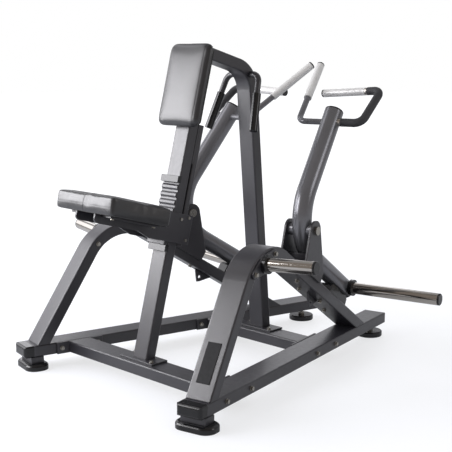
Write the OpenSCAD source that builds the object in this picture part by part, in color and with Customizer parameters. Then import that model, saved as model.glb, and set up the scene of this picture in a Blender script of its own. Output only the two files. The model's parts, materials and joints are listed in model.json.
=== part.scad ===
// Plate-loaded seated row machine with a chest pad and two splayed swing arms.
// Millimetres, +Z up. The origin is on the floor, under the middle of the machine.
// +X runs from the seat towards the handles, +Y to the user's left.

/* [Floor frame] */
// Length of each floor rail along its own axis, with both end caps
rail_l = 1519; // [1480:1:1600]
// Width of the flat tube of the rails and arches
tube_w = 105; // [95:1:112]
// Thickness of that flat tube
tube_t = 48; // [42:1:54]
// Wall of the flat tube
tube_wall = 3; // [2:0.5:5]
// Outside corner radius of the tubes
tube_r = 6; // [4:0.5:9]
// Distance between the rails' centre lines at the seat end
front_spacing = 1013; // [980:1:1060]
// Angle of each rail to the machine's middle plane
splay = 11.9; // [11:0.1:13]
// Height of the rails' undersides above the floor
rail_z = 52.5; // [46:0.5:66]
// Length of the moulded caps on the rails' seat ends
front_cap_l = 42; // [30:1:50]
// Length of the moulded caps on the rails' rear ends
rear_cap_l = 14; // [8:1:20]
// Place of the front cross beam's middle behind the rails' seat ends
front_beam_x = 226; // [215:1:240]
// Place of the rear cross beam's middle behind the rails' seat ends
rear_beam_x = 890; // [870:1:910]
// Width of the cross beams
beam_w = 100; // [95:1:110]
// Length of the flange plates that bolt the beams to the rails
flange_l = 206; // [196:1:230]
// Thickness of the flange plates
flange_t = 8; // [6:0.5:12]
// Distance of the flange bolts from the beam's middle
flange_bolt = 82; // [76:1:88]
// Diameter of the frame's bolts
bolt_d = 12; // [10:1:14]

/* [Arches] */
// Where the front leg's outer edge meets the rail
arch_front = 57; // [50:1:70]
// Slope of the front leg
arch_front_angle = 57.7; // [55:0.1:60]
// Where the rear leg's outer edge meets the rail
arch_rear = 1295; // [1270:1:1320]
// Slope of the rear leg
arch_rear_angle = 31.8; // [31:0.1:32.5]
// Bend radius of the arch at its middle line
arch_bend = 185; // [165:1:200]
// Width of the bare name plate on the right front leg
plate_w = 56; // [40:1:70]
// Length of that plate
plate_l = 150; // [100:1:160]
// Distance of that plate from the rail, up the leg
plate_up = 60; // [55:1:90]
// Thickness of that plate
plate_t = 2; // [1:0.5:3]

/* [Posts] */
// Place of the seat post's front face at rail height, behind the rails' seat ends
post_x = 211; // [205:1:217]
// Lean of the seat post towards the handles
post_lean = 15; // [14:0.1:16]
// Length of the seat post
post_h = 1256; // [1230:1:1280]
// Width of both posts
post_w = 80; // [74:1:84]
// Depth of both posts
post_d = 48; // [44:1:52]
// Place of the rear post's front face at rail height
rear_post_x = 880; // [870:1:886]
// Lean of the rear post towards the seat
rear_post_lean = 4.8; // [4:0.1:6]
// Bend radius of the rear post's top at its middle line
rear_post_bend = 115; // [100:1:125]
// Depth of the guide bar behind the seat post
guide_d = 24; // [20:1:28]
// Width of the slot between the seat post and the guide bar
guide_slot = 6; // [4:1:8]
// Upper end of that slot along the post
slot_top = 791; // [770:1:810]
// Lower end of the guide bar along the post
guide_low = 462; // [440:1:470]
// Upper end of the guide bar along the post
guide_top = 948; // [920:1:980]
// Length of the posts' base plates across the machine
base_l = 190; // [180:1:210]
// Width of the base plates
base_w = 80; // [74:1:90]
// Thickness of the base plates
base_t = 7; // [5:0.5:10]

/* [Seat rack] */
// Lower end of the rack along the post
rack_low = 460; // [450:1:470]
// Upper end of the rack along the post
rack_top = 706; // [690:1:730]
// Width of the rack
rack_w = 92; // [86:1:95]
// Thickness of the rack's strip
rack_t = 4; // [3:0.5:6]
// Pitch of the rack's teeth
tooth_pitch = 30; // [26:1:36]
// Height of a tooth at its root
tooth_h = 22; // [18:1:24]
// Depth of a tooth in front of the strip
tooth_d = 6; // [4:0.5:7]
// Width of the stop blocks
stop_w = 98; // [94:1:99]
// Depth of the stop blocks
stop_d = 18; // [16:1:22]
// Height of the stop blocks
stop_h = 26; // [20:1:30]

/* [Chest pad] */
// Width of the chest pad
chest_w = 226; // [200:1:250]
// Height of the chest pad
chest_l = 328; // [300:1:350]
// Thickness of its cushion
chest_t = 42; // [36:1:60]
// Place of its middle along the post
chest_mid = 1088; // [1080:1:1096]
// Corner radius of the chest pad
chest_r = 32; // [25:1:45]
// Edge radius of its cushion's face
chest_edge = 20; // [14:1:22]

/* [Seat] */
// Width of the seat
seat_w = 336; // [310:1:360]
// Length of the seat
seat_l = 292; // [276:1:316]
// Thickness of its cushion
seat_t = 55; // [48:1:66]
// Gap between the seat's rear end and the post
seat_gap = 118; // [110:1:126]
// Place of the seat board's underside along the post
seat_h = 528; // [520:1:540]
// Corner radius of the seat
seat_r = 18; // [14:1:26]
// Edge radius of its cushion's face
seat_edge = 9; // [7:1:12]
// Thickness of the boards under both cushions
board_t = 12; // [9:1:15]
// How far the boards stay inside the cushions' outlines
board_inset = 14; // [10:1:18]
// Thickness of the seat's side plates
side_t = 8; // [6:0.5:10]
// Height of the side plates under the seat
side_h = 33; // [28:1:38]
// Width of the flanges that carry the seat board
seat_flange = 58; // [50:1:66]

/* [Swing arms] */
// Place of the arm pivot along the rail
pivot_a = 795; // [785:1:805]
// Height of the arm pivot
pivot_z = 589.5; // [583:0.5:598]
// Diameter of the arm tube
arm_d = 78; // [72:1:82]
// Wall of the arm tube
arm_wall = 4; // [3:0.5:6]
// Bend radius of the arm at its middle line
arm_bend = 200; // [190:1:210]
// Slope of the upper arm at rest
arm_up_angle = 53; // [51:0.5:55]
// Slope of the lower arm at rest
arm_low_angle = 31.5; // [31:0.1:32.5]
// Straight length of the upper arm
arm_up_l = 368; // [340:1:400]
// Straight length of the lower arm, to the weight peg
arm_low_l = 326; // [310:1:340]
// Diameter of the pivot hub
hub_d = 52; // [48:1:60]
// Diameter of the pivot pin
pin_d = 25; // [20:1:28]
// Wall of the pivot bushes
bush_wall = 4; // [3:0.5:6]
// Length of each pivot bush
bush_l = 30; // [20:1:40]
// Thickness of the pivot plates
pivot_plate_t = 9; // [8:0.5:12]
// Radius of the pivot plates' round tops
pivot_plate_r = 40; // [36:1:44]
// Place of the rubber bump stop along the rail
bump_a = 1055; // [1040:1:1070]
// Length of the bump stop along the leg
bump_len = 170; // [150:1:190]
// Width of the bump stop
bump_w = 60; // [50:1:70]

/* [Weight pegs] */
// Diameter of the weight pegs
peg_d = 50; // [48:0.5:50.5]
// Length of the loading pegs
load_l = 381; // [340:1:420]
// Length of the storage pegs
store_l = 184; // [160:1:220]
// Upward tilt of the storage pegs
store_tilt = 2.5; // [0:0.1:4]
// Diameter of the black collars behind the pegs
collar_d = 70; // [64:1:74]
// Length of the collars
collar_l = 17; // [14:1:20]
// Distance of the bolts of the storage plates from the peg
store_bolt = 73; // [68:1:78]
// Slope of the storage plates
store_slope = 22; // [19:0.5:25]
// Thickness of the storage plates
store_t = 8; // [6:0.5:10]
// Thickness of the pegs' end caps
cap_t = 8; // [6:0.5:12]

/* [Handles] */
// Diameter of the handle tubes
rod_d = 25; // [22:0.5:28]
// Wall of the handle tubes
rod_wall = 2.5; // [2:0.5:4]
// Bend radius of the handle tubes at their middle line
rod_bend = 38; // [34:1:42]
// Outside diameter of the grips
grip_d = 34; // [32:0.5:38]
// Distance of the handles' root below the arm's top end
handle_down = 48; // [42:1:60]
// Reach of the inner handle from the arm's middle to its bend
inner_out = 149; // [140:1:156]
// Length of the inner handle from its bend
inner_l = 384; // [350:1:395]
// Slope of the inner handle
inner_rise = 36; // [32:1:40]
// Inward turn of the inner handle
inner_toe = 11.2; // [9:0.1:12]
// Length of the inner grip
inner_grip_l = 230; // [200:1:240]
// Reach of the outer handle from the arm's middle to its bend
outer_out = 138; // [130:1:160]
// Length of the outer handle's rising stretch
outer_l = 198; // [180:1:215]
// Slope of that stretch
outer_rise = 39.8; // [37:0.1:43]
// Outward turn of that stretch
outer_toe = 6.2; // [4:0.1:8]
// Length of the outer handle's cross stretch
cross_l = 299; // [280:1:310]
// Dip of the cross stretch towards its end
cross_dip = 3.5; // [1:0.1:5]
// Length of the outer grip
outer_grip_l = 222; // [200:1:226]

/* [Brace handles] */
// Place of the brace handles on the rear post's bend, as an angle
brace_angle = 38; // [30:1:46]
// Reach of the brace handles from the middle plane to their bend
brace_out = 88; // [84:1:95]
// Forward run of a brace handle from its bend
brace_forward = 74; // [60:1:85]
// Outward run from its bend
brace_flare = 40; // [30:1:45]
// Drop from its bend
brace_drop = 219; // [200:1:230]
// Length of its rubber grip
brace_grip_l = 152; // [130:1:160]

/* [Feet] */
// Height of the front foot pads
foot_h = 26; // [20:1:34]
// Width of the front foot pads across the rail
foot_w = 162; // [150:1:172]
// Length of the front foot pads along the rail
foot_l = 96; // [90:1:110]
// Place of the front foot stubs' middle along the rail
foot_a = 56; // [50:1:62]
// Length of the front foot stubs along the rail
foot_stub = 54; // [44:1:60]
// Diameter of the rear feet
rear_foot_d = 116; // [100:1:120]
// Height of the rear feet
rear_foot_h = 24; // [18:1:30]
// Distance of the rear feet from the rails' rear ends
rear_foot_in = 64; // [62:1:80]
// Diameter of the rear feet's studs
stud_d = 16; // [12:1:20]

/* [Hidden] */
$fn = 48;
// Small gaps: loose pieces, moving pieces, and running fits
snug = 0.1;
slide_gap = 0.5;
run_gap = 0.05;
side_gap = 1;

deck = rail_z + tube_t;
side_in = stop_w / 2 + side_gap;
side_out = side_in + side_t;
peg_r = peg_d / 2;
arm_r = arm_d / 2;
rod_r = rod_d / 2;
grip_r = grip_d / 2;
bolt_r = bolt_d / 2;
hole_r = bolt_r + slide_gap;
washer_r = bolt_d * 0.8;
washer_t = 2;
head_r = bolt_d * 0.68;
head_h = bolt_d * 0.6;
screw_r = 5;
rivet_r = 3.5;
latch_h = 40;
latch_d = 18;
latch_drop = 67.5;
latch_low = seat_h - latch_drop;
collar_bore = peg_r - 6;
ring_l = 10;
grip_cap = 6;

RIGHT = 1;
LEFT = -1;

// Vectors and lines
function unit(v) = v / norm(v);
function square_to(v) = unit(abs(v.z) < 0.9 ? cross([0, 0, 1], v) : cross([1, 0, 0], v));
function polar(r, a) = [r * cos(a), r * sin(a)];
function cross2(a, b) = a.x * b.y - a.y * b.x;
// A point of an upright plane as a point in space
function flat(p) = [p.x, 0, p.y];
// Where the line from p along d meets the line from q along e
function meet(p, d, q, e) = p + d * cross2(q - p, e) / cross2(d, e);
// Matrix that puts the local x and z axes along two square directions at a point
function basis(o, x, z) = let(y = cross(z, x))
    [[x.x, y.x, z.x, o.x], [x.y, y.y, z.y, o.y], [x.z, y.z, z.z, o.z], [0, 0, 0, 1]];

// Points of the seat post's own frame, seen from the side: x back from its front face, h up along it
post_back = [cos(post_lean), -sin(post_lean)];
post_up = [sin(post_lean), cos(post_lean)];
function on_post(x, h) = [post_x, deck] + x * post_back + h * post_up;

// The machine's ends set the origin in the middle of its length
seat_x0 = on_post(-seat_gap - seat_l, seat_h + side_gap + seat_edge / 5).x;
cap_round = 14;
rear_round = min(cap_round, 0.8 * rear_cap_l);
rear_end = (rail_l - rear_round) * cos(splay) + (tube_w / 2 - rear_round) * sin(splay) + rear_round;
origin_x = (seat_x0 + rear_end) / 2;

// Arch, in the plane of its rail
front_dir = polar(1, arch_front_angle);
rear_dir = polar(1, -arch_rear_angle);
front_in = polar(1, arch_front_angle - 90);
rear_in = polar(1, -arch_rear_angle - 90);
arch_tip = meet([arch_front, deck] + front_in * tube_t / 2, front_dir,
                [arch_rear, deck] + rear_in * tube_t / 2, rear_dir);
arch_tangent = arch_bend * tan((arch_front_angle + arch_rear_angle) / 2);
arch_mid = arch_tip - front_dir * arch_tangent + front_in * arch_bend;
arch_path = [flat(arch_tip - front_dir * rail_l), flat(arch_tip), flat(arch_tip + rear_dir * rail_l)];
store_at = arch_mid + polar(sqrt(pow(arch_bend, 2) - pow(store_bolt, 2)), 90 + store_slope);
function leg_top(a) = deck + (arch_rear - a) * tan(arch_rear_angle);
function leg_low(a) = leg_top(a) - tube_t / cos(arch_rear_angle);

// Rear post, in the middle plane
rear_up = polar(1, 90 + rear_post_lean);
rear_in_axis = [rear_post_x, deck] + post_d / 2 * polar(1, rear_post_lean);
rear_tip = meet(rear_in_axis, rear_up, on_post(0, post_h - post_d / 2), post_back);
rear_tangent = rear_post_bend * tan((90 - post_lean - rear_post_lean) / 2);
rear_mid = rear_tip - rear_up * rear_tangent + rear_post_bend * polar(1, 180 + rear_post_lean);
top_tube_l = (rear_tip - on_post(post_d, 0)) * post_back;
rear_path = [flat(rear_in_axis - rear_up * deck), flat(rear_tip), flat(rear_tip - post_back * top_tube_l)];

// Arm, in the plane of its rail, with the pivot on the middle of its bend
arm_half = (arm_up_angle - arm_low_angle) / 2;
arm_sweep = 180 - arm_up_angle - arm_low_angle;
arm_mid = [pivot_a, pivot_z] + polar(arm_bend, arm_half);
arm_tip = arm_mid - polar(arm_bend / cos(arm_sweep / 2), arm_half);
arm_cut = arm_bend * tan(arm_sweep / 2);
arm_top = arm_tip + polar(arm_cut + arm_up_l, arm_up_angle);
peg_at = arm_tip + polar(arm_cut + arm_low_l, -arm_low_angle);
boss_r = peg_d / 2 + 4;
arm_low = peg_at + polar(boss_r + 6, -arm_low_angle);
arm_path = [flat(arm_top), flat(arm_tip), flat(arm_low)];
root2 = arm_top - polar(handle_down, arm_up_angle);

// Handle paths, in the plane of the rail: along, towards the middle, up
root = [root2.x, 0, root2.y];
inner_dir = [cos(inner_rise) * cos(inner_toe), cos(inner_rise) * sin(inner_toe), sin(inner_rise)];
inner_knee = root + [0, inner_out, 0];
inner_end = inner_knee + inner_l * inner_dir;
outer_dir = [cos(outer_rise) * cos(outer_toe), -cos(outer_rise) * sin(outer_toe), sin(outer_rise)];
cross_dir = [cos(cross_dip) * sin(splay), cos(cross_dip) * cos(splay), -sin(cross_dip)];
outer_knee = root - [0, outer_out, 0];
outer_corner = outer_knee + outer_l * outer_dir;
outer_end = outer_corner + cross_l * cross_dir;
inner_path = [root, inner_knee, inner_end];
outer_path = [root, outer_knee, outer_corner, outer_end];
sleeve_start = root - [0, arm_r + ring_l, 0];
sleeve_end = outer_end - (outer_grip_l + ring_l + snug) * cross_dir;

// Brace handle path on the right side
brace2 = rear_mid + polar(rear_post_bend, brace_angle);
brace_root = [brace2.x, 0, brace2.y];
brace_knee = brace_root - [0, brace_out, 0];
brace_end = brace_knee - [brace_forward, brace_flare, brace_drop];
brace_path = [brace_root, brace_knee, brace_end];
brace_dir = unit(brace_end - brace_knee);

// Height of the bump stop between the leg and the resting arm
bump_axis = polar(1, 90 - arch_rear_angle);
bump_foot = [bump_a, leg_top(bump_a)] + snug * bump_axis;
arm_low_dir = polar(1, -arm_low_angle);
bump_reach = cross2(arm_low - bump_foot, arm_low_dir) / cross2(bump_axis, arm_low_dir);
bump_slack = bump_len / 2 * abs(sin(arch_rear_angle - arm_low_angle));
bump_h = bump_reach - arm_r - slide_gap - bump_slack;

// Placing
module machine() {
    translate([-origin_x, 0, 0])
        children();
}

// The frame of one rail: x along it, y towards the middle plane, z up
module beside(side) {
    machine()
        mirror([0, side == LEFT ? 1 : 0, 0])
            translate([0, -front_spacing / 2, 0])
                rotate([0, 0, splay])
                    children();
}

module both_sides() {
    beside(RIGHT)
        children();
    beside(LEFT)
        children();
}

// The seat post's own frame: x back from its front face, z up along it
module at_post() {
    machine()
        translate([post_x, 0, deck])
            rotate([0, post_lean, 0])
                children();
}

// A point of a rail's plane, with local z along a slope
module on_slope(p, angle) {
    translate([p.x, 0, p.y])
        rotate([0, 90 - angle, 0])
            children();
}

// A point of a rail's plane, with local z towards the middle plane
module across(p, y = 0) {
    translate([p.x, y, p.y])
        rotate([-90, 0, 0])
            children();
}

// Flat shapes
module round_rect(x, y, r) {
    square([x - 2 * r, y], center = true);
    square([x, y - 2 * r], center = true);
    for (i = [-1, 1], j = [-1, 1])
        translate([i * (x / 2 - r), j * (y / 2 - r)])
            circle(r);
}

// Section of a flat tube, with its wall thickened both ways by an extra amount
module tube_2d(t, w, extra = 0) {
    inner = 2 * (tube_wall + extra);
    difference() {
        round_rect(t + 2 * extra, w + 2 * extra, tube_r + extra);
        round_rect(t - inner, w - inner, tube_r - tube_wall / 2);
    }
}

module ring_2d(r, wall) {
    difference() {
        circle(r);
        circle(r - wall);
    }
}

// Solids that repeat
module tube_run(l, t, w) {
    linear_extrude(l)
        tube_2d(t, w);
}

module ring(l, r, bore) {
    linear_extrude(l)
        ring_2d(r, r - bore);
}

module rod(p, q, r) {
    dir = unit(q - p);
    multmatrix(basis(p, square_to(dir), dir))
        cylinder(h = norm(q - p), r = r);
}

module pipe(p, q, r, bore) {
    dir = unit(q - p);
    multmatrix(basis(p, square_to(dir), dir))
        ring(norm(q - p), r, bore);
}

bend_lap = 1;
swell = 0.15;
// Directions, bends and rolls of a path of straight stretches
function step(path, i) = unit(path[i + 1] - path[i]);
function turn_at(path, i) = acos(step(path, i - 1) * step(path, i));
function bend_side(path, i) =
    let(d = step(path, i - 1), e = step(path, i)) unit(e - (e * d) * d);
function cut_at(path, i, bend) =
    i == 0 || i == len(path) - 1 ? 0 : bend * tan(turn_at(path, i) / 2);
function roll_at(path, i) = i >= len(path) - 2 ? 0 :
    let(t = turn_at(path, i),
        from = bend_side(path, i) * cos(t) - step(path, i - 1) * sin(t),
        to = bend_side(path, i + 1))
    atan2(cross(from, to) * step(path, i), from * to);
function legs_of(path, bend) = [
    for (i = [0 : len(path) - 2])
        let(l = norm(path[i + 1] - path[i]) - cut_at(path, i, bend) - cut_at(path, i + 1, bend))
        i == len(path) - 2 ? [l, 0, 0] : [l, turn_at(path, i + 1), roll_at(path, i + 1)]
];

// Sweeps the first flat shape along straight lengths. Each is followed by a bend of the second shape
// towards local +x, and a roll. The lengths lap into the bends, which are thicker by a trace.
module sweep_legs(legs, bend, i = 0) {
    turn = legs[i][1];
    last = i == len(legs) - 1;
    lap_in = i == 0 ? 0 : bend_lap;
    translate([0, 0, -lap_in])
        linear_extrude(legs[i][0] + lap_in + (last ? 0 : bend_lap))
            children(0);
    if (!last)
        translate([bend, 0, legs[i][0]]) {
            rotate([90, 0, 180])
                rotate_extrude(angle = turn)
                    translate([bend, 0])
                        mirror([1, 0])
                            children(1);
            rotate([0, turn, 0])
                translate([-bend, 0, 0])
                    rotate([0, 0, legs[i][2]])
                        sweep_legs(legs, bend, i + 1) {
                            children(0);
                            children(1);
                        }
        }
}

// Sweeps along a path with round bends, the shapes' x side turned into the first bend
module swept(path, bend) {
    multmatrix(basis(path[0], bend_side(path, 1), step(path, 0)))
        sweep_legs(legs_of(path, bend), bend) {
            children(0);
            children(1);
        }
}

module bent_pipe(path, r, bore, bend) {
    swept(path, bend) {
        ring_2d(r, r - bore);
        ring_2d(r + swell, r - bore + 2 * swell);
    }
}

module bent_flat_tube(path, t, w, bend) {
    swept(path, bend) {
        tube_2d(t, w);
        tube_2d(t, w, swell);
    }
}

// Washer and six-sided head under the plane z = 0
module bolt_head() {
    translate([0, 0, -washer_t])
        cylinder(h = washer_t, r = washer_r);
    translate([0, 0, -washer_t - head_h])
        cylinder(h = head_h, r = head_r, $fn = 6);
}

module through_bolt(grip) {
    bolt_head();
    cylinder(h = grip, r = bolt_r);
    translate([0, 0, grip])
        mirror([0, 0, 1])
            bolt_head();
}

// Bolt with its head under z = 0 that ends inside the tube above it
module short_bolt(grip) {
    bolt_head();
    cylinder(h = grip, r = bolt_r);
}

// Everything above a height, over the length of the machine
module above(z) {
    translate([-rail_l, -rail_l, z])
        cube([3 * rail_l, 2 * rail_l, 2 * rail_l]);
}

// Cushion: rounded outline, drawn-in sides, crowned face, flat back on z = 0
cushion_sides = 6;
cushion_corner = 5;
cushion_arc = [30, 55, 80];
cushion_tops = [0.78, 0.52, 0.26];
cushion_draw = 3;
cushion_crown = 0.07;

// Rings of the side of a cushion: how far in from the outline, and how far up from the back
function side_rings(t, edge) =
    let(low = t * (1 - cushion_crown) - edge)
    concat([[edge / 4, 0], [edge / 20, edge / 5], [0, edge / 2], [0, low]],
           [for (a = cushion_arc) [edge * (1 - cos(a)), low + edge * sin(a)]]);

function outline(x, y, r) = [
    for (c = [0 : 3])
        let(sx = c == 0 || c == 3 ? 1 : -1, sy = c < 2 ? 1 : -1,
            mid = [sx * (x / 2 - r), sy * (y / 2 - r)],
            nx = c == 0 || c == 1 ? -1 : 1,
            from = mid + polar(r, c * 90 + 90),
            to = c % 2 == 0 ? [nx * (x / 2 - r), sy * y / 2] : [sx * x / 2, -sy * (y / 2 - r)])
        each concat(
            [for (k = [0 : cushion_corner - 1]) mid + polar(r, c * 90 + 90 * k / (cushion_corner - 1))],
            [for (k = [1 : cushion_sides - 1]) from + (to - from) * k / cushion_sides])
];

// Pulls the middles of the sides in
function drawn(p, x, y, draw) =
    let(u = p.x / (x / 2), v = p.y / (y / 2))
    [p.x - sign(u) * draw * pow(u, 8) * (1 - v * v), p.y - sign(v) * draw * pow(v, 8) * (1 - u * u)];

module cushion(x, y, t, r, edge) {
    ring_pts = [for (g = side_rings(t, edge))
        [for (p = outline(x - 2 * g[0], y - 2 * g[0], r - g[0] / 2))
            let(q = drawn(p, x, y, cushion_draw)) [q.x, q.y, g[1]]]];
    rim = ring_pts[len(ring_pts) - 1];
    top_pts = [for (f = cushion_tops)
        [for (p = rim) [p.x * f, p.y * f, t - cushion_crown * t * f * f]]];
    rings = concat(ring_pts, top_pts);
    n = len(rim);
    m = len(rings);
    points = concat([[0, 0, 0]], [for (g = rings) each g], [[0, 0, t]]);
    faces = concat(
        [for (k = [0 : n - 1]) [0, 1 + k, 1 + (k + 1) % n]],
        [for (j = [0 : m - 2], k = [0 : n - 1])
            [1 + j * n + k, 1 + (j + 1) * n + k, 1 + j * n + (k + 1) % n]],
        [for (j = [0 : m - 2], k = [0 : n - 1])
            [1 + (j + 1) * n + k, 1 + (j + 1) * n + (k + 1) % n, 1 + j * n + (k + 1) % n]],
        [for (k = [0 : n - 1]) [1 + (m - 1) * n + k, 1 + m * n, 1 + (m - 1) * n + (k + 1) % n]]);
    polyhedron(points = points, faces = faces);
}

// Where a beam's flange sits along its rail
function flange_a(x) = (x + (tube_w / 2 + flange_t) * sin(splay)) / cos(splay);

module flange_bolts_at() {
    for (x = [front_beam_x, rear_beam_x], s = [-1, 1])
        translate([flange_a(x) + s * flange_bolt, 0, rail_z + tube_t / 2])
            rotate([-90, 0, 0])
                children();
}

// Floor frame
module rail(side) {
    beside(side)
        difference() {
            translate([front_cap_l, 0, rail_z + tube_t / 2])
                rotate([0, 90, 0])
                    tube_run(rail_l - front_cap_l - rear_cap_l, tube_t, tube_w);
            flange_bolts_at()
                translate([0, 0, -tube_w])
                    cylinder(h = 2 * tube_w, r = hole_r);
        }
}

module right_rail() {
    color("dimgray")
        rail(RIGHT);
}

module left_rail() {
    color("dimgray")
        rail(LEFT);
}

// Outer block of a rail cap, its end rounded both ways
cap_over = 0.2;
module cap_block(l) {
    r = min(cap_round, 0.8 * l);
    intersection() {
        linear_extrude(l)
            round_rect(tube_t, tube_w, tube_r);
        rotate([90, 0, 0])
            linear_extrude(2 * tube_w, center = true)
                translate([0, l - cap_over / 2])
                    round_rect(tube_t + cap_over, 2 * l, r);
        rotate([0, -90, 0])
            linear_extrude(2 * tube_t, center = true)
                translate([l - cap_over / 2, 0])
                    round_rect(2 * l, tube_w + cap_over, r);
    }
}

// Cap of one rail end: the outer block and a plug inside the tube
module rail_cap(l) {
    cap_block(l);
    plug = 2 * (tube_wall + snug);
    translate([0, 0, l])
        linear_extrude(tube_t / 2)
            round_rect(tube_t - plug, tube_w - plug, tube_r - tube_wall / 2);
}

module rail_caps() {
    color("black")
        both_sides() {
            translate([0, 0, rail_z + tube_t / 2])
                rotate([0, 90, 0])
                    rail_cap(front_cap_l);
            translate([rail_l, 0, rail_z + tube_t / 2])
                rotate([0, -90, 0])
                    rail_cap(rear_cap_l);
        }
}

module beam(x) {
    difference() {
        machine()
            translate([x, front_spacing / 2, rail_z + tube_t / 2])
                rotate([90, 0, 0])
                    rotate([0, 0, 90])
                        tube_run(front_spacing, tube_t, beam_w);
        both_sides()
            translate([-rail_l, tube_w / 2 + flange_t - rail_l, 0])
                cube([3 * rail_l, rail_l, rail_l]);
        machine()
            base_bolts_at(x)
                translate([0, 0, -deck])
                    cylinder(h = 2 * deck, r = hole_r);
    }
}

module front_beam() {
    color("dimgray")
        beam(front_beam_x);
}

module rear_beam() {
    color("dimgray")
        beam(rear_beam_x);
}

module beam_flanges() {
    color("dimgray")
        both_sides()
            difference() {
                for (x = [front_beam_x, rear_beam_x])
                    translate([flange_a(x) - flange_l / 2, tube_w / 2, rail_z])
                        cube([flange_l, flange_t, tube_t]);
                flange_bolts_at()
                    cylinder(h = tube_w, r = hole_r);
            }
}

// Arches
module arch(side) {
    intersection() {
        beside(side)
            difference() {
                bent_flat_tube(arch_path, tube_t, tube_w, arch_bend);
                store_bolts_at()
                    cylinder(h = 3 * tube_w, r = hole_r, center = true);
                leg_bolts_at()
                    cylinder(h = tube_t, r = hole_r, center = true);
            }
        above(deck);
    }
}

// Bolts come up through the undersides of the rear legs, left and right of their middle
leg_bolt = 18;
module leg_bolts_at() {
    spots = [[pivot_a - 1.75 * pivot_plate_r, -leg_bolt], [pivot_a + 0.35 * pivot_plate_r, leg_bolt],
             [bump_a - 3.3 * pivot_plate_r, -leg_bolt], [bump_a - 0.6 * pivot_plate_r, leg_bolt]];
    for (p = spots)
        on_slope([p[0], leg_low(p[0])], 90 - arch_rear_angle)
            translate([0, p[1], 0])
                children();
}

module right_arch() {
    color("dimgray")
        arch(RIGHT);
}

module left_arch() {
    color("dimgray")
        arch(LEFT);
}

module name_plate() {
    color("black")
        beside(RIGHT)
            on_slope([arch_front, deck] + front_dir * plate_up, arch_front_angle)
                translate([-plate_t, -plate_w / 2, 0])
                    cube([plate_t, plate_w, plate_l]);
}

lug_t = 8;
lug_a = pivot_a + 50;
lug_l = 82;
lug_drop = 62;
lug_hole = 7;
module lug_plates() {
    color("dimgray")
        both_sides()
            translate([0, lug_t / 2, 0])
                rotate([90, 0, 0])
                    linear_extrude(lug_t)
                        difference() {
                            polygon([[lug_a, leg_low(lug_a)],
                                     [lug_a + lug_hole, leg_low(lug_a) - lug_drop],
                                     [lug_a + 3 * lug_hole, leg_low(lug_a) - lug_drop],
                                     [lug_a + lug_l, leg_low(lug_a + lug_l)]]);
                            translate([lug_a + 3 * lug_hole, leg_low(lug_a) - lug_drop * 2 / 3])
                                circle(lug_hole);
                        }
}

// Feet
module front_foot_stubs() {
    color("dimgray")
        both_sides()
            translate([foot_a - foot_stub / 2, -tube_w / 2, foot_h])
                cube([foot_stub, tube_w, rail_z - foot_h]);
}

foot_edge = 9;
foot_r = 42;
module front_feet() {
    color("black")
        both_sides()
            translate([foot_a, 0, 0])
                hull()
                    for (k = [0, 0.3, 1])
                        linear_extrude(foot_h - (1 - k) * (1 - k) * foot_edge)
                            round_rect(foot_l - 2 * k * foot_edge, foot_w - 2 * k * foot_edge,
                                       foot_r - k * foot_edge);
}

module rear_feet() {
    chamfer = rear_foot_h / 6;
    r = rear_foot_d / 2;
    color("black")
        both_sides()
            translate([rail_l - rear_foot_in, 0, 0])
                rotate_extrude()
                    polygon([[0, 0], [r - chamfer / 2, 0], [r, chamfer], [r, rear_foot_h - chamfer],
                             [r - chamfer, rear_foot_h], [0, rear_foot_h]]);
}

module rear_foot_studs() {
    nut_h = stud_d * 0.7;
    color("silver")
        both_sides()
            translate([rail_l - rear_foot_in, 0, rear_foot_h]) {
                cylinder(h = rail_z - rear_foot_h, r = stud_d / 2);
                cylinder(h = nut_h, r = stud_d, $fn = 6);
            }
}

// Posts
module seat_post() {
    color("dimgray")
        difference() {
            intersection() {
                at_post()
                    translate([post_d / 2, 0, -deck])
                        tube_run(post_h + deck, post_d, post_w);
                above(deck + base_t);
            }
            at_post()
                chest_bolts_at()
                    cylinder(h = 3 * post_d, r = hole_r, center = true);
        }
}

post_cap_t = 4;
module post_cap() {
    plug = 2 * (tube_wall + snug);
    color("black")
        at_post()
            translate([post_d / 2, 0, post_h]) {
                linear_extrude(post_cap_t)
                    round_rect(post_d, post_w, tube_r);
                translate([0, 0, -post_d / 2])
                    linear_extrude(post_d / 2)
                        round_rect(post_d - plug, post_w - plug, tube_r - tube_wall / 2);
            }
}

// Guide bar, held off the post by a spacer at each end
guide_x = post_d + guide_slot;
module guide_bar() {
    color("dimgray")
        at_post()
            union() {
                translate([guide_x + guide_d / 2, 0, guide_low])
                    tube_run(guide_top - guide_low, guide_d, post_w);
                for (h = [[guide_low, guide_low + post_d], [slot_top, guide_top]])
                    translate([post_d, side_gap - post_w / 2, h[0]])
                        cube([guide_slot + tube_wall / 2, post_w - 2 * side_gap, h[1] - h[0]]);
            }
}

module rear_post() {
    color("dimgray")
        intersection() {
            machine()
                bent_flat_tube(rear_path, post_d, post_w, rear_post_bend);
            above(deck + base_t);
        }
}

// Middles of the two base plates, under their posts
base_front_x = post_x + post_d / 2;
base_rear_x = rear_post_x + post_d / 2;

// Two bolts hold a base plate, at opposite corners
module base_bolts_at(x) {
    near = x == front_beam_x ? base_front_x : base_rear_x;
    for (s = [-1, 1])
        translate([near + s * (base_w / 2 - 1.2 * bolt_d), s * (base_l / 2 - 1.6 * bolt_d), deck + base_t])
            children();
}

module post_bases() {
    color("dimgray")
        machine()
            difference() {
                for (x = [base_front_x, base_rear_x])
                    translate([x - base_w / 2, -base_l / 2, deck])
                        cube([base_w, base_l, base_t]);
                for (x = [front_beam_x, rear_beam_x])
                    base_bolts_at(x)
                        cylinder(h = 4 * base_t, r = hole_r, center = true);
            }
}

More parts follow.
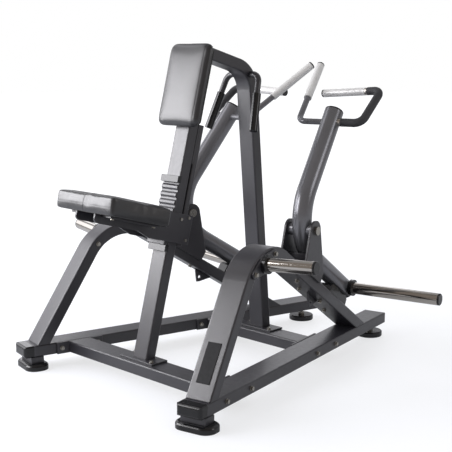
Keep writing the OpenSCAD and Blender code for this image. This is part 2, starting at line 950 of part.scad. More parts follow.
// One tooth, with slopes of 45 degrees above and below its tip
module tooth_2d() {
    tip_h = tooth_h / 2 - tooth_d;
    root_h = tooth_h / 2 + rack_t / 2;
    polygon([[rack_t / 2, -root_h], [-tooth_d, -tip_h], [-tooth_d, tip_h], [rack_t / 2, root_h]]);
}

// A piece of the rack, as wide as given, from its side view
module rack_piece(w) {
    translate([0, w / 2, 0])
        rotate([90, 0, 0])
            linear_extrude(w)
                children();
}

// Seat rack on the post's front face
module seat_rack() {
    count = floor((rack_top - rack_low) / tooth_pitch);
    spare = rack_top - rack_low - count * tooth_pitch;
    color("dimgray")
        at_post() {
            rack_piece(rack_w)
                translate([-rack_t, rack_low])
                    square([rack_t, rack_top - rack_low]);
            rack_piece(rack_w - rack_t / 2)
                for (k = [0 : count - 1])
                    translate([-rack_t, rack_low + spare / 2 + (k + 0.5) * tooth_pitch])
                        tooth_2d();
        }
}

module rack_stops() {
    color("black")
        at_post()
            for (h = [min(rack_low, latch_low - slide_gap) - stop_h, rack_top])
                translate([-stop_d, -stop_w / 2, h])
                    cube([stop_d, stop_w, stop_h]);
}

// Chest pad, on the post's front face
module on_chest(x) {
    at_post()
        translate([x, 0, chest_mid])
            rotate([0, -90, 0])
                children();
}

module chest_bolts_at() {
    for (s = [-1, 1])
        translate([0, 0, chest_mid + s * chest_l / 4])
            rotate([0, -90, 0])
                children();
}

module chest_board() {
    color("black")
        difference() {
            on_chest(0)
                linear_extrude(board_t)
                    round_rect(chest_l - 2 * board_inset, chest_w - 2 * board_inset, chest_r / 2);
            at_post()
                chest_bolts_at()
                    cylinder(h = board_t, r = hole_r, center = true);
        }
}

module chest_cushion() {
    color("black")
        on_chest(-board_t)
            cushion(chest_l, chest_w, chest_t, chest_r, chest_edge);
}

// Brace handles on the bend of the rear post
module both_braces() {
    machine() {
        children();
        mirror([0, 1, 0])
            children();
    }
}

module brace_handles() {
    color("black")
        both_braces()
            difference() {
                bent_pipe(brace_path, rod_r, rod_r - rod_wall, rod_bend);
                translate(brace_root)
                    cube([2 * post_d, post_w + 2 * swell, 2 * post_d], center = true);
            }
}

module brace_grips() {
    stop = brace_end + grip_cap * brace_dir;
    color("black")
        both_braces()
            difference() {
                rod(brace_end - brace_grip_l * brace_dir, stop, grip_r);
                rod(brace_end - 2 * brace_grip_l * brace_dir, brace_end, rod_r + snug);
            }
}

// Pivots
plate_lap = 14;
module pivot_plate_2d() {
    pivot = [pivot_a, pivot_z];
    front_a = pivot_a - 2.1 * pivot_plate_r;
    rear_a = pivot_a + 1.1 * pivot_plate_r;
    heel_a = pivot_a + 1.75 * pivot_plate_r;
    difference() {
        union() {
            translate(pivot)
                circle(pivot_plate_r);
            polygon([[front_a, leg_top(front_a) - plate_lap],
                     pivot + polar(pivot_plate_r, 158),
                     pivot + polar(pivot_plate_r, 12),
                     [heel_a, leg_top(heel_a) + pivot_plate_r],
                     [rear_a, leg_top(rear_a) - plate_lap]]);
        }
        translate(pivot)
            circle(pin_d / 2 + snug);
    }
}

// Web between the two plates of a side, standing just clear of the leg
web_t = 8;
web_a = pivot_a - 0.5 * pivot_plate_r;
module pivot_web() {
    low = leg_top(web_a - web_t / 2) + snug;
    high = pivot_z - 2.3 * pivot_plate_r;
    translate([web_a - web_t / 2, -tube_w / 2 - bend_lap, low])
        cube([web_t, tube_w + 2 * bend_lap, high - low]);
}

module pivot_plates() {
    color("dimgray")
        both_sides() {
            pivot_web();
            for (y = [-tube_w / 2, tube_w / 2 + pivot_plate_t])
                translate([0, y, 0])
                    rotate([90, 0, 0])
                        linear_extrude(pivot_plate_t)
                            pivot_plate_2d();
        }
}

module pivot_pins() {
    reach = tube_w / 2 + pivot_plate_t;
    head = pin_d * 0.4;
    color("silver")
        both_sides()
            across([pivot_a, pivot_z], -reach) {
                cylinder(h = 2 * reach, r = pin_d / 2);
                translate([0, 0, -head])
                    cylinder(h = head, r = pin_d * 0.7);
                translate([0, 0, 2 * reach])
                    cylinder(h = head, r = pin_d * 0.7);
            }
}

// Side view of a bump stop: a block with its upper ends cut off
module bump_2d() {
    half = bump_len / 2;
    cut = bump_h / 4;
    polygon([[-half, 0], [-half, bump_h - cut], [-half + cut, bump_h],
             [half - cut, bump_h], [half, bump_h - cut], [half, 0]]);
}

module bump_stops() {
    color("black")
        both_sides()
            on_slope(bump_foot, 90 - arch_rear_angle)
                translate([0, bump_w / 2, 0])
                    rotate([90, 0, 0])
                        linear_extrude(bump_w)
                            bump_2d();
}

// Storage pegs on the arches' outer sides
store_y = -tube_w / 2 - swell;
module on_store() {
    across(store_at, store_y)
        rotate([0, 0, -store_slope])
            children();
}

module store_bolts_at() {
    on_store()
        for (s = [-1, 1])
            translate([s * store_bolt, 0, -store_t])
                children();
}

// Local z runs out of the plate, up by the pegs' tilt
module along_store() {
    translate([store_at.x, store_y - store_t, store_at.y])
        rotate([90 - store_tilt, 0, 0])
            children();
}

module outside_plate() {
    translate([store_at.x - rail_l / 2, store_y - store_t - rail_l, 0])
        cube([rail_l, rail_l, rail_l]);
}

module storage_plates() {
    tip = collar_d / 4;
    color("dimgray")
        both_sides()
            on_store()
                translate([0, 0, -store_t])
                    linear_extrude(store_t)
                        difference() {
                            union() {
                                circle(collar_d / 2 + side_gap);
                                polygon([[-store_bolt, -tip], [0, -collar_d / 2], [store_bolt, -tip],
                                         [store_bolt, tip], [0, collar_d / 2], [-store_bolt, tip]]);
                                for (s = [-1, 1])
                                    translate([s * store_bolt, 0])
                                        circle(tip);
                            }
                            for (s = [-1, 1])
                                translate([s * store_bolt, 0])
                                    circle(hole_r);
                        }
}

module storage_collars() {
    color("black")
        both_sides()
            intersection() {
                along_store()
                    translate([0, 0, -collar_l])
                        ring(2 * collar_l, collar_d / 2, collar_bore + snug);
                outside_plate();
            }
}

module storage_pegs() {
    color("silver")
        both_sides()
            intersection() {
                along_store() {
                    translate([0, 0, collar_l])
                        cylinder(h = store_l, r = peg_r);
                    translate([0, 0, -collar_l])
                        cylinder(h = 2 * collar_l, r = collar_bore);
                }
                outside_plate();
            }
}

module peg_cap() {
    rim = cap_t / 3;
    rotate_extrude()
        polygon([[0, 0], [peg_r, 0], [peg_r, cap_t - rim], [peg_r - rim, cap_t], [0, cap_t]]);
}

module storage_caps() {
    color("black")
        both_sides()
            along_store()
                translate([0, 0, collar_l + store_l])
                    peg_cap();
}

module frame_bolts() {
    color("silver") {
        both_sides() {
            flange_bolts_at()
                translate([0, 0, -tube_w / 2])
                    through_bolt(tube_w + flange_t);
            store_bolts_at()
                through_bolt(store_t + tube_w + 2 * swell);
            leg_bolts_at()
                short_bolt(2 * tube_wall);
        }
        machine()
            for (x = [front_beam_x, rear_beam_x])
                base_bolts_at(x)
                    mirror([0, 0, 1])
                        through_bolt(base_t + tube_t);
        at_post()
            chest_bolts_at()
                translate([0, 0, -post_d])
                    short_bolt(post_d + board_t / 2 - slide_gap);
    }
}

// Seat: everything here slides along the post
side_low = seat_h - side_h;
side_drop = side_low - 20;
side_up = 64;
side_rise = seat_h + side_up;
side_back = guide_x + guide_d + side_t + 4;
side_front = -stop_d - 14;
module seat_side_2d() {
    nose = side_h / 2;
    tip = -seat_gap - seat_l + 1.5 * board_inset;
    translate([tip + nose, side_low + nose])
        circle(nose);
    polygon([[tip + nose, seat_h], [tip, seat_h], [tip, side_low + nose], [tip + nose, side_low],
             [-seat_gap - 0.197 * seat_l, side_low - side_gap], [-0.983 * seat_gap, side_drop],
             [side_back, side_drop],
             [side_back, side_rise], [side_front, side_rise], [side_front, seat_h]]);
}

seat_bolt_front = -seat_gap - 0.77 * seat_l;
seat_bolt_rear = -seat_gap - 0.08 * seat_l;
flange_end = 4 * screw_r;
module seat_bolts_at() {
    for (x = [seat_bolt_front, seat_bolt_rear], s = [-1, 1])
        translate([x, s * (side_out + 0.72 * seat_flange), seat_h - side_t])
            children();
}

// Rivets of the glides on both side plates, with local z outwards
rivets = [[31, 41], [71, -37], [70, 52]];
module rivets_at() {
    for (p = rivets, s = [-1, 1])
        translate([p.x, s * side_in, seat_h + p.y])
            rotate([-90 * s, 0, 0])
                children();
}

module seat_side_plates() {
    color("dimgray")
        at_post()
            difference() {
                for (s = [-1, 1]) {
                    translate([0, s < 0 ? -side_in : side_out, 0])
                        rotate([90, 0, 0])
                            linear_extrude(side_t)
                                seat_side_2d();
                    translate([seat_bolt_front - flange_end, s < 0 ? -side_out - seat_flange : side_out,
                               seat_h - side_t])
                        cube([seat_bolt_rear - seat_bolt_front + 2 * flange_end, seat_flange, side_t]);
                }
                seat_bolts_at()
                    cylinder(h = 4 * side_t, r = screw_r + slide_gap, center = true);
                rivets_at()
                    cylinder(h = 3 * side_t, r = rivet_r + snug, center = true);
            }
}

module seat_back_plate() {
    color("dimgray")
        at_post()
            translate([side_back - side_t - 2, -side_in, side_drop + side_t])
                cube([side_t, 2 * side_in, side_rise - side_drop - 2 * side_t]);
}

module seat_latch_bar() {
    color("dimgray")
        at_post()
            translate([-rack_t - tooth_d - side_gap - latch_d, -side_in, latch_low])
                cube([latch_d, 2 * side_in, latch_h]);
}

module seat_glides() {
    thick = side_in - post_w / 2 - slide_gap;
    color("white")
        at_post()
            for (y = [-side_in, side_in - thick]) {
                translate([post_d * 0.2, y, side_rise - post_d - side_t])
                    cube([post_d * 0.7, thick, post_d]);
                translate([guide_x, y, side_drop + side_t])
                    cube([guide_d, thick, post_d]);
            }
}

module on_seat(h) {
    at_post()
        translate([-seat_gap - seat_l / 2, 0, h])
            children();
}

module seat_board() {
    color("black")
        difference() {
            on_seat(seat_h)
                linear_extrude(board_t)
                    round_rect(seat_l - 2 * board_inset, seat_w - 2 * board_inset, seat_r / 2);
            at_post()
                seat_bolts_at()
                    cylinder(h = side_t + board_t * 0.8, r = screw_r + slide_gap);
        }
}

// The seat's cushion reaches down round its board
module seat_cushion() {
    skirt = board_t - side_gap;
    pocket = 2 * (board_inset - snug);
    color("black")
        on_seat(seat_h + side_gap)
            difference() {
                cushion(seat_l, seat_w, seat_t + skirt, seat_r, seat_edge);
                translate([0, 0, -side_gap])
                    linear_extrude(board_t)
                        round_rect(seat_l - pocket, seat_w - pocket, seat_r / 2 + snug);
            }
}

module seat_bolts() {
    color("silver")
        at_post() {
            seat_bolts_at() {
                cylinder(h = side_t + board_t * 0.7, r = screw_r);
                translate([0, 0, -screw_r])
                    cylinder(h = screw_r, r = 1.4 * screw_r);
            }
            rivets_at() {
                cylinder(h = side_t, r = rivet_r);
                translate([0, 0, side_t])
                    cylinder(h = rivet_r, r = 1.7 * rivet_r);
            }
        }
}

// Swing arms
hub_half = tube_w / 2 - side_gap;
module arm(side) {
    beside(side)
        difference() {
            union() {
                bent_pipe(arm_path, arm_r, arm_r - arm_wall, arm_bend);
                across([pivot_a, pivot_z], -hub_half)
                    cylinder(h = 2 * hub_half, r = hub_d / 2);
                across(peg_at, -arm_r)
                    cylinder(h = 2 * arm_r, r = boss_r);
            }
            across([pivot_a, pivot_z], -tube_w)
                cylinder(h = 2 * tube_w, r = pin_d / 2 + bush_wall);
            across(peg_at, -tube_w)
                cylinder(h = 2 * tube_w, r = collar_bore + snug);
        }
}

module right_arm() {
    color("gray")
        arm(RIGHT);
}

module left_arm() {
    color("gray")
        arm(LEFT);
}

module bushes(side) {
    beside(side)
        for (y = [-hub_half, hub_half - bush_l])
            across([pivot_a, pivot_z], y)
                ring(bush_l, pin_d / 2 + bush_wall - run_gap, pin_d / 2 + run_gap);
}

module right_bushes() {
    color("goldenrod")
        bushes(RIGHT);
}

module left_bushes() {
    color("goldenrod")
        bushes(LEFT);
}

module load_collar(side) {
    beside(side)
        across(peg_at, -arm_r - collar_l)
            ring(collar_l, collar_d / 2, collar_bore + snug);
}

module right_load_collar() {
    color("black")
        load_collar(RIGHT);
}

module left_load_collar() {
    color("black")
        load_collar(LEFT);
}

module load_peg(side) {
    beside(side) {
        across(peg_at, -arm_r - collar_l - load_l)
            cylinder(h = load_l, r = peg_r);
        across(peg_at, -arm_r - collar_l)
            cylinder(h = collar_l + 2 * arm_r, r = collar_bore);
    }
}

module right_load_peg() {
    color("silver")
        load_peg(RIGHT);
}

module left_load_peg() {
    color("silver")
        load_peg(LEFT);
}

module inner_handle(side) {
    beside(side)
        difference() {
            bent_pipe(inner_path, rod_r, rod_r - rod_wall, rod_bend);
            rod(flat(arm_top), flat(arm_tip), arm_r + run_gap);
        }
}

module right_inner_handle() {
    color("gray")
        inner_handle(RIGHT);
}

module left_inner_handle() {
    color("gray")
        inner_handle(LEFT);
}

module inner_grip(side) {
    beside(side)
        difference() {
            rod(inner_end - inner_grip_l * inner_dir, inner_end, grip_r);
            rod(inner_end - inner_l * inner_dir, inner_end + grip_r * inner_dir, rod_r + snug);
        }
}

module right_inner_grip() {
    color("gainsboro")
        inner_grip(RIGHT);
}

module left_inner_grip() {
    color("gainsboro")
        inner_grip(LEFT);
}

// Handle tube with a bright ring at the arm and another before the grip
module outer_handle(side) {
    beside(side)
        difference() {
            union() {
                bent_pipe(outer_path, rod_r, rod_r - rod_wall, rod_bend);
                pipe(root, sleeve_start, grip_r, rod_r - rod_wall / 2);
                pipe(sleeve_end, sleeve_end + ring_l * cross_dir, grip_r, rod_r - rod_wall / 2);
            }
            rod(flat(arm_top), flat(arm_tip), arm_r + run_gap);
        }
}

module right_outer_handle() {
    color("silver")
        outer_handle(RIGHT);
}

module left_outer_handle() {
    color("silver")
        outer_handle(LEFT);
}

module outer_sleeve(side) {
    path = [sleeve_start, outer_knee, outer_corner, sleeve_end];
    beside(side)
        bent_pipe(path, grip_r, rod_r + 2 * swell + snug, rod_bend);
}

module right_outer_sleeve() {
    color("black")
        outer_sleeve(RIGHT);
}

module left_outer_sleeve() {
    color("black")
        outer_sleeve(LEFT);
}

module outer_grip(side) {
    beside(side)
        difference() {
            rod(outer_end - outer_grip_l * cross_dir, outer_end, grip_r);
            rod(outer_corner, outer_end + grip_r * cross_dir, rod_r + snug);
        }
}

module right_outer_grip() {
    color("gainsboro")
        outer_grip(RIGHT);
}

module left_outer_grip() {
    color("gainsboro")
        outer_grip(LEFT);
}

// Plugs of both arm ends, the weight peg's cap and the grips' end caps
module arm_caps(side) {
    beside(side) {
        on_slope(arm_top, arm_up_angle)
            cylinder(h = grip_cap, r = arm_r);
        on_slope(arm_low, -arm_low_angle)
            cylinder(h = grip_cap, r = arm_r);
        across(peg_at, -arm_r - collar_l - load_l)
            rotate([180, 0, 0])
                peg_cap();
        rod(inner_end, inner_end + grip_cap * inner_dir, grip_r);
        rod(outer_end, outer_end + grip_cap * cross_dir, grip_r);
    }
}

module right_arm_caps() {
    color("black")
        arm_caps(RIGHT);
}

module left_arm_caps() {
    color("black")
        arm_caps(LEFT);
}

right_rail();
left_rail();
rail_caps();
front_beam();
rear_beam();
beam_flanges();
right_arch();
left_arch();
name_plate();
lug_plates();
front_foot_stubs();
front_feet();
rear_feet();
rear_foot_studs();
seat_post();
post_cap();
guide_bar();
rear_post();
post_bases();
seat_rack();
rack_stops();
chest_board();
chest_cushion();
brace_handles();
brace_grips();
pivot_plates();
pivot_pins();
bump_stops();
storage_plates();
storage_collars();
storage_pegs();
storage_caps();
frame_bolts();
seat_side_plates();
seat_back_plate();
seat_latch_bar();
seat_glides();
seat_board();
seat_cushion();
seat_bolts();
right_arm();
right_bushes();
right_load_collar();
right_load_peg();
right_inner_handle();
right_inner_grip();
right_outer_handle();
right_outer_sleeve();
right_outer_grip();
right_arm_caps();
left_arm();
left_bushes();
left_load_collar();
left_load_peg();
left_inner_handle();
left_inner_grip();
left_outer_handle();
left_outer_sleeve();
left_outer_grip();
left_arm_caps();
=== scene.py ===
import json
import math

import bmesh
import bpy
from mathutils import Matrix, Quaternion, Vector

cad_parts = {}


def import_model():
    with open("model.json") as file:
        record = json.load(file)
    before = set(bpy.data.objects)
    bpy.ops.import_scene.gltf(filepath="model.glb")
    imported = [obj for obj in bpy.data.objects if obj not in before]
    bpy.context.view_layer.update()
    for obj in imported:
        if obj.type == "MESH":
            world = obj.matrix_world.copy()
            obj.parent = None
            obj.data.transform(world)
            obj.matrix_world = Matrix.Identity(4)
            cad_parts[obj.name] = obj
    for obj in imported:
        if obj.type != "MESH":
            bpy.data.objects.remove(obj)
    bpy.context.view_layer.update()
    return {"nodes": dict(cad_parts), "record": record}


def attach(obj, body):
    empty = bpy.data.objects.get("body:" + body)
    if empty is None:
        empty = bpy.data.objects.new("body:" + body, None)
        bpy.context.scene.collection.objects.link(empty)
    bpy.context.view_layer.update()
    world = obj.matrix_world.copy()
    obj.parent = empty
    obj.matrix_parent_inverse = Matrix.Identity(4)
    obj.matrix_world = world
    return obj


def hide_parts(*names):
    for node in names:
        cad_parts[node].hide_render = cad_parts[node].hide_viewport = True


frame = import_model()
NODES = frame["nodes"]

# Lengths are in metres, and a pad's sizes run along it, across it and out of its back.

# Seat post, whose lean the pads follow
LEAN = math.radians(15)
POST_UP = Vector((math.sin(LEAN), 0, math.cos(LEAN)))
POST_FRONT = Vector((-math.cos(LEAN), 0, math.sin(LEAN)))
POST_AT = Vector((-0.51273, 0, 0.1005))
BOARD_T = 0.012

# Chest pad: place up the post, crown, and the seams of its front panel
CHEST_SIZE = Vector((0.328, 0.226, 0.042))
CHEST_MID = 1.088
CHEST_RELAX = 40
CHEST_DOME = 0.0075
CHEST_PANEL_INSET = 0.019
CHEST_SEAM_DEPTH = 0.0005

# Seat pad: place on the post, pocket over its board, and the band and seams of its front
SEAT_SIZE = Vector((0.294, 0.338, 0.072))
SEAT_GAP = 0.118
SEAT_BASE = 0.529
SEAT_POCKET = 0.011
SEAT_LIFT = 0.0046
SEAT_RELAX = 6
SEAT_FRONT_DEPTH = 0.03
SEAT_FRONT_LEAN = 0.006
SEAT_FRONT_TUCK = 0.003
SEAT_BAND = 0.026
BAND_SEAM_DEPTH = 0.0004
BAND_SEAM_UPRIGHT = 0.8
MIDDLE_SEAM_DEPTH = 0.0016

# Cover of both pads: remesh, swelling, crown and seams
PAD_WELD = 1e-5
PAD_VOXEL = 0.005
PAD_SHRINK = 0.003
PAD_CAP = 0.005
PAD_FRAMES = 20
PAD_PRESSURE = 4.0
PAD_STIFFNESS = 60.0
PINNED = 0.004
SEAM_WIDTH = 0.0026
DOME_POWER_ALONG = 8
DOME_POWER_ACROSS = 4
TUCK_POWER = 8
BAND_POWER = 1.2

# Camera, as the photograph was taken
CAMERA_AT = Vector((-2.8743, -2.8288, 1.2484))
CAMERA_YAW = math.radians(44.86)
CAMERA_PITCH = math.radians(-9.559)
CAMERA_LENS_MM = 77.9
CAMERA_SENSOR_MM = 36.0

# World: the fill light, and the room that gloss mirrors
WHITE = (1, 1, 1, 1)
WORLD_FILL = 0.7
BACKDROP_SIDE = (0.709, 0.705, 0)
BACKDROP_EDGE = 0.5
ROOM_DIM = (0.31, 0.275, 0.25, 1)
ROOM_PALE = (0.5, 0.5, 0.52, 1)

# Floor: grey to the lamps, with a glow for the camera that grows between two distances
FLOOR_HALF = 30.0
FLOOR_DROP = 0.0005
FLOOR_COLOR = (0.30, 0.31, 0.34, 1)
FLOOR_ROUGHNESS = 0.6
FLOOR_SPECULAR = 0.2
FLOOR_MIRRORED = 0.4
GLOW_NEAR = 1.0
GLOW_FAR = 4.0
GLOW_LOW = 0.66
GLOW_HIGH = 0.9

# Softboxes: place, aim, width and height, watts, roll in degrees
LAMP_TINT = (0.97, 0.965, 1.0)
SOFTBOXES = {
    "key": ((-2.6, 2.1, 1.75), (-0.2, 0, 0.8), (3.0, 1.7), 152, 14),
    "side": ((-0.75, 3.4, 1.5), (-0.4, 0.3, 0.5), (1.2, 1.6), 10, 0),
    "top": ((-0.8, 1.7, 2.9), (-0.2, 0, 0.4), (2.0, 0.7), 8, 0),
    "kicker": ((1.1, 3.7, 1.5), (-0.4, 0.2, 0.3), (1.3, 1.6), 10, 0),
    "right": ((1.2, -3.1, 2.1), (0.1, -0.35, 0.85), (1.1, 1.2), 12, 0),
    "rim": ((2.6, 1.6, 2.0), (0.2, 0, 0.7), (0.9, 1.8), 8, 0),
}

# Settings of nodes, and the sockets of a Mix node that mixes colours
NOISE_ROUGHNESS = 0.55
BEVEL_SAMPLES = 4
MIX_COLOR_A = 6
MIX_COLOR_B = 7
MIX_COLOR_RESULT = 2


# Node helpers

def srgb(red, green, blue):
    """Linear colour of 0 to 255 display values."""
    out = []
    for value in (red, green, blue):
        c = value / 255
        out.append(c / 12.92 if c <= 0.04045 else ((c + 0.055) / 1.055) ** 2.4)
    return (*out, 1.0)


class Shader:
    """A material and short ways to add nodes to it."""

    def __init__(self, name):
        self.mat = bpy.data.materials.new(name)
        self.mat.use_nodes = True
        self.tree = self.mat.node_tree
        self.bsdf = self.tree.nodes["Principled BSDF"]
        self.coords = self.add("ShaderNodeTexCoord").outputs["Object"]

    def add(self, kind, **settings):
        node = self.tree.nodes.new(kind)
        for key, value in settings.items():
            setattr(node, key, value)
        return node

    def link(self, source, target):
        self.tree.links.new(source, target)

    def put(self, **sockets):
        """Sets sockets of the shader; an underscore stands for a space."""
        for key, value in sockets.items():
            self.bsdf.inputs[key.replace("_", " ")].default_value = value

    def stretched(self, scale):
        node = self.add("ShaderNodeMapping")
        node.inputs["Scale"].default_value = scale
        self.link(self.coords, node.inputs["Vector"])
        return node.outputs["Vector"]

    def noise(self, scale, detail=3.0, vector=None):
        node = self.add("ShaderNodeTexNoise")
        node.inputs["Scale"].default_value = scale
        node.inputs["Detail"].default_value = detail
        node.inputs["Roughness"].default_value = NOISE_ROUGHNESS
        self.link(vector or self.coords, node.inputs["Vector"])
        return node.outputs["Fac"]

    def cells(self, scale, feature="F1"):
        node = self.add("ShaderNodeTexVoronoi", feature=feature)
        node.inputs["Scale"].default_value = scale
        self.link(self.coords, node.inputs["Vector"])
        return node.outputs["Distance"]

    def ramp(self, fac, low, high, start=0.3, end=0.7):
        node = self.add("ShaderNodeValToRGB")
        first, last = node.color_ramp.elements
        first.position, last.position = start, end
        first.color, last.color = low, high
        self.link(fac, node.inputs["Fac"])
        return node.outputs["Color"]

    def spread(self, fac, low, high, start=0.3, end=0.7):
        node = self.add("ShaderNodeMapRange")
        for key, value in (("From Min", start), ("From Max", end), ("To Min", low), ("To Max", high)):
            node.inputs[key].default_value = value
        self.link(fac, node.inputs["Value"])
        return node.outputs["Result"]

    def edges(self, radius):
        """A normal that softens sharp edges."""
        node = self.add("ShaderNodeBevel", samples=BEVEL_SAMPLES)
        node.inputs["Radius"].default_value = radius
        return node.outputs["Normal"]

    def bump(self, height, depth, strength, normal=None):
        node = self.add("ShaderNodeBump")
        node.inputs["Distance"].default_value = depth
        node.inputs["Strength"].default_value = strength
        self.link(height, node.inputs["Height"])
        if normal is not None:
            self.link(normal, node.inputs["Normal"])
        return node.outputs["Normal"]

    def finish(self, color, rough, normal=None):
        self.link(color, self.bsdf.inputs["Base Color"])
        self.link(rough, self.bsdf.inputs["Roughness"])
        if normal is not None:
            self.link(normal, self.bsdf.inputs["Normal"])
        return self.mat


# Materials

def powder_coat():
    s = Shader("powder_coat")
    s.put(Specular_IOR_Level=0.85)
    color = s.ramp(s.noise(scale=5, detail=4), srgb(36, 35, 41), srgb(41, 40, 46))
    rough = s.spread(s.noise(scale=60, detail=4), low=0.33, high=0.4)
    grain = s.noise(scale=1100, detail=2)
    return s.finish(color, rough, s.bump(grain, depth=0.00008, strength=0.4, normal=s.edges(0.005)))


def arm_coat():
    s = Shader("arm_coat")
    s.put(Metallic=0.55, Specular_IOR_Level=0.5)
    color = s.ramp(s.noise(scale=7, detail=4), srgb(112, 112, 116), srgb(122, 122, 126))
    flake = s.cells(scale=1500)
    rough = s.spread(flake, low=0.2, high=0.28, start=0.1, end=0.6)
    grain = s.noise(scale=900, detail=2)
    return s.finish(color, rough, s.bump(grain, depth=0.00008, strength=0.4, normal=s.edges(0.0012)))


def chrome():
    s = Shader("chrome")
    s.put(Metallic=1.0)
    color = s.ramp(s.noise(scale=4), srgb(172, 167, 161), srgb(184, 180, 174))
    rough = s.spread(s.noise(scale=140, detail=4), low=0.06, high=0.13)
    return s.finish(color, rough, s.edges(0.001))


def grip_metal():
    s = Shader("grip_metal")
    s.put(Metallic=0.2)
    color = s.ramp(s.noise(scale=30, detail=4), srgb(206, 205, 204), srgb(220, 219, 218))
    rough = s.spread(s.noise(scale=260), low=0.3, high=0.4)
    return s.finish(color, rough, s.bump(s.cells(scale=620), depth=0.00012, strength=0.35))


def zinc():
    s = Shader("zinc")
    s.put(Metallic=1.0)
    color = s.ramp(s.noise(scale=320), srgb(150, 147, 140), srgb(178, 175, 168))
    rough = s.spread(s.noise(scale=500), low=0.22, high=0.38)
    return s.finish(color, rough, s.edges(0.0008))


def plastic():
    s = Shader("plastic")
    s.put(Specular_IOR_Level=0.5)
    color = s.ramp(s.noise(scale=40), srgb(15, 15, 17), srgb(20, 20, 22))
    rough = s.spread(s.noise(scale=90), low=0.16, high=0.22)
    waves = s.noise(scale=220, detail=2)
    return s.finish(color, rough, s.bump(waves, depth=0.00004, strength=0.2, normal=s.edges(0.003)))


def plate_film():
    s = Shader("plate_film")
    s.put(Specular_IOR_Level=0.15)
    color = s.ramp(s.noise(scale=70), srgb(22, 22, 25), srgb(28, 28, 31))
    rough = s.spread(s.noise(scale=300), low=0.42, high=0.52)
    return s.finish(color, rough, s.edges(0.001))


def rubber():
    s = Shader("rubber")
    s.put(Specular_IOR_Level=0.5)
    color = s.ramp(s.noise(scale=60), srgb(20, 20, 22), srgb(28, 28, 29))
    rough = s.spread(s.noise(scale=200), low=0.16, high=0.23)
    grain = s.noise(scale=500)
    return s.finish(color, rough, s.bump(grain, depth=0.00006, strength=0.3, normal=s.edges(0.0015)))


def foam():
    s = Shader("foam")
    s.put(Specular_IOR_Level=0.35)
    color = s.ramp(s.cells(scale=900), srgb(44, 44, 47), srgb(58, 58, 61), start=0.1, end=0.6)
    rough = s.spread(s.noise(scale=400), low=0.5, high=0.66)
    return s.finish(color, rough, s.bump(s.cells(scale=1100), depth=0.0002, strength=0.6))


def leather():
    s = Shader("leather")
    s.put(Specular_IOR_Level=0.85)
    pores = s.cells(scale=520, feature="DISTANCE_TO_EDGE")
    folds = s.noise(scale=28, detail=4)
    color = s.ramp(folds, srgb(26, 26, 29), srgb(33, 33, 36))
    rough = s.spread(pores, low=0.39, high=0.31, start=0.0, end=0.3)
    grain = s.bump(pores, depth=0.00025, strength=0.5)
    return s.finish(color, rough, s.bump(folds, depth=0.0008, strength=0.2, normal=grain))


def board():
    s = Shader("board")
    grain = s.noise(scale=40, detail=4, vector=s.stretched((1, 8, 1)))
    color = s.ramp(grain, srgb(24, 23, 23), srgb(34, 33, 32))
    rough = s.spread(grain, low=0.5, high=0.7)
    return s.finish(color, rough, s.bump(grain, depth=0.0002, strength=0.4))


def nylon():
    s = Shader("nylon")
    color = s.ramp(s.noise(scale=50), srgb(34, 34, 35), srgb(42, 42, 43))
    rough = s.spread(s.noise(scale=300), low=0.38, high=0.5)
    return s.finish(color, rough, s.bump(s.noise(scale=1200, detail=2), depth=0.0001, strength=0.4))


def bronze():
    s = Shader("bronze")
    s.put(Metallic=1.0)
    color = s.ramp(s.noise(scale=200), srgb(140, 104, 62), srgb(172, 132, 84))
    return s.finish(color, s.spread(s.noise(scale=400), low=0.3, high=0.45))


MATERIALS = {
    "frame_paint": powder_coat(),
    "arm_paint": arm_coat(),
    "chrome": chrome(),
    "grip_metal": grip_metal(),
    "zinc_steel": zinc(),
    "black_plastic": plastic(),
    "plate_film": plate_film(),
    "black_rubber": rubber(),
    "foam": foam(),
    "pad_leather": leather(),
    "board": board(),
    "nylon": nylon(),
    "bronze": bronze(),
}


def dress(obj, slot):
    obj.data.materials.clear()
    obj.data.materials.append(MATERIALS[slot])


def dress_nodes():
    """Each CAD node gets its slot's material, and the bare name plate a film."""
    for entry in frame["record"]["subparts"]:
        dress(NODES[entry["node"]], entry["material_slot"])
    dress(NODES["name_plate"], "plate_film")


# Pads

def axes_at(origin, along, out):
    """Matrix whose x runs along a pad and z out of its flat back."""
    side = out.cross(along)
    return Matrix((
        (along.x, side.x, out.x, origin.x),
        (along.y, side.y, out.y, origin.y),
        (along.z, side.z, out.z, origin.z),
        (0, 0, 0, 1)))


def pad_mesh(node, name, axes, size, lift):
    """A slightly smaller copy of a CAD cushion, in the pad's own axes, its rim lifted."""
    work = bmesh.new()
    work.from_mesh(NODES[node].data)
    work.transform(axes.inverted())
    bmesh.ops.remove_doubles(work, verts=work.verts, dist=PAD_WELD)
    for v in work.verts:
        if v.co.z > size.z / 2:
            v.co.z += lift * max(abs(v.co.x) * 2 / size.x, abs(v.co.y) * 2 / size.y) ** 2
    shrink = Vector((1 - 2 * PAD_SHRINK / size.x, 1 - 2 * PAD_SHRINK / size.y, 1 - PAD_SHRINK / size.z))
    bmesh.ops.scale(work, vec=shrink, verts=work.verts)
    mesh = bpy.data.meshes.new(name)
    work.to_mesh(mesh)
    work.free()
    obj = bpy.data.objects.new(name, mesh)
    bpy.context.scene.collection.objects.link(obj)
    return obj


def keep_result(obj):
    """Applies the object's modifiers."""
    graph = bpy.context.evaluated_depsgraph_get()
    mesh = bpy.data.meshes.new_from_object(obj.evaluated_get(graph))
    obj.modifiers.clear()
    obj.data = mesh


def remesh(obj):
    mod = obj.modifiers.new("remesh", "REMESH")
    mod.mode = "VOXEL"
    mod.voxel_size = PAD_VOXEL
    keep_result(obj)


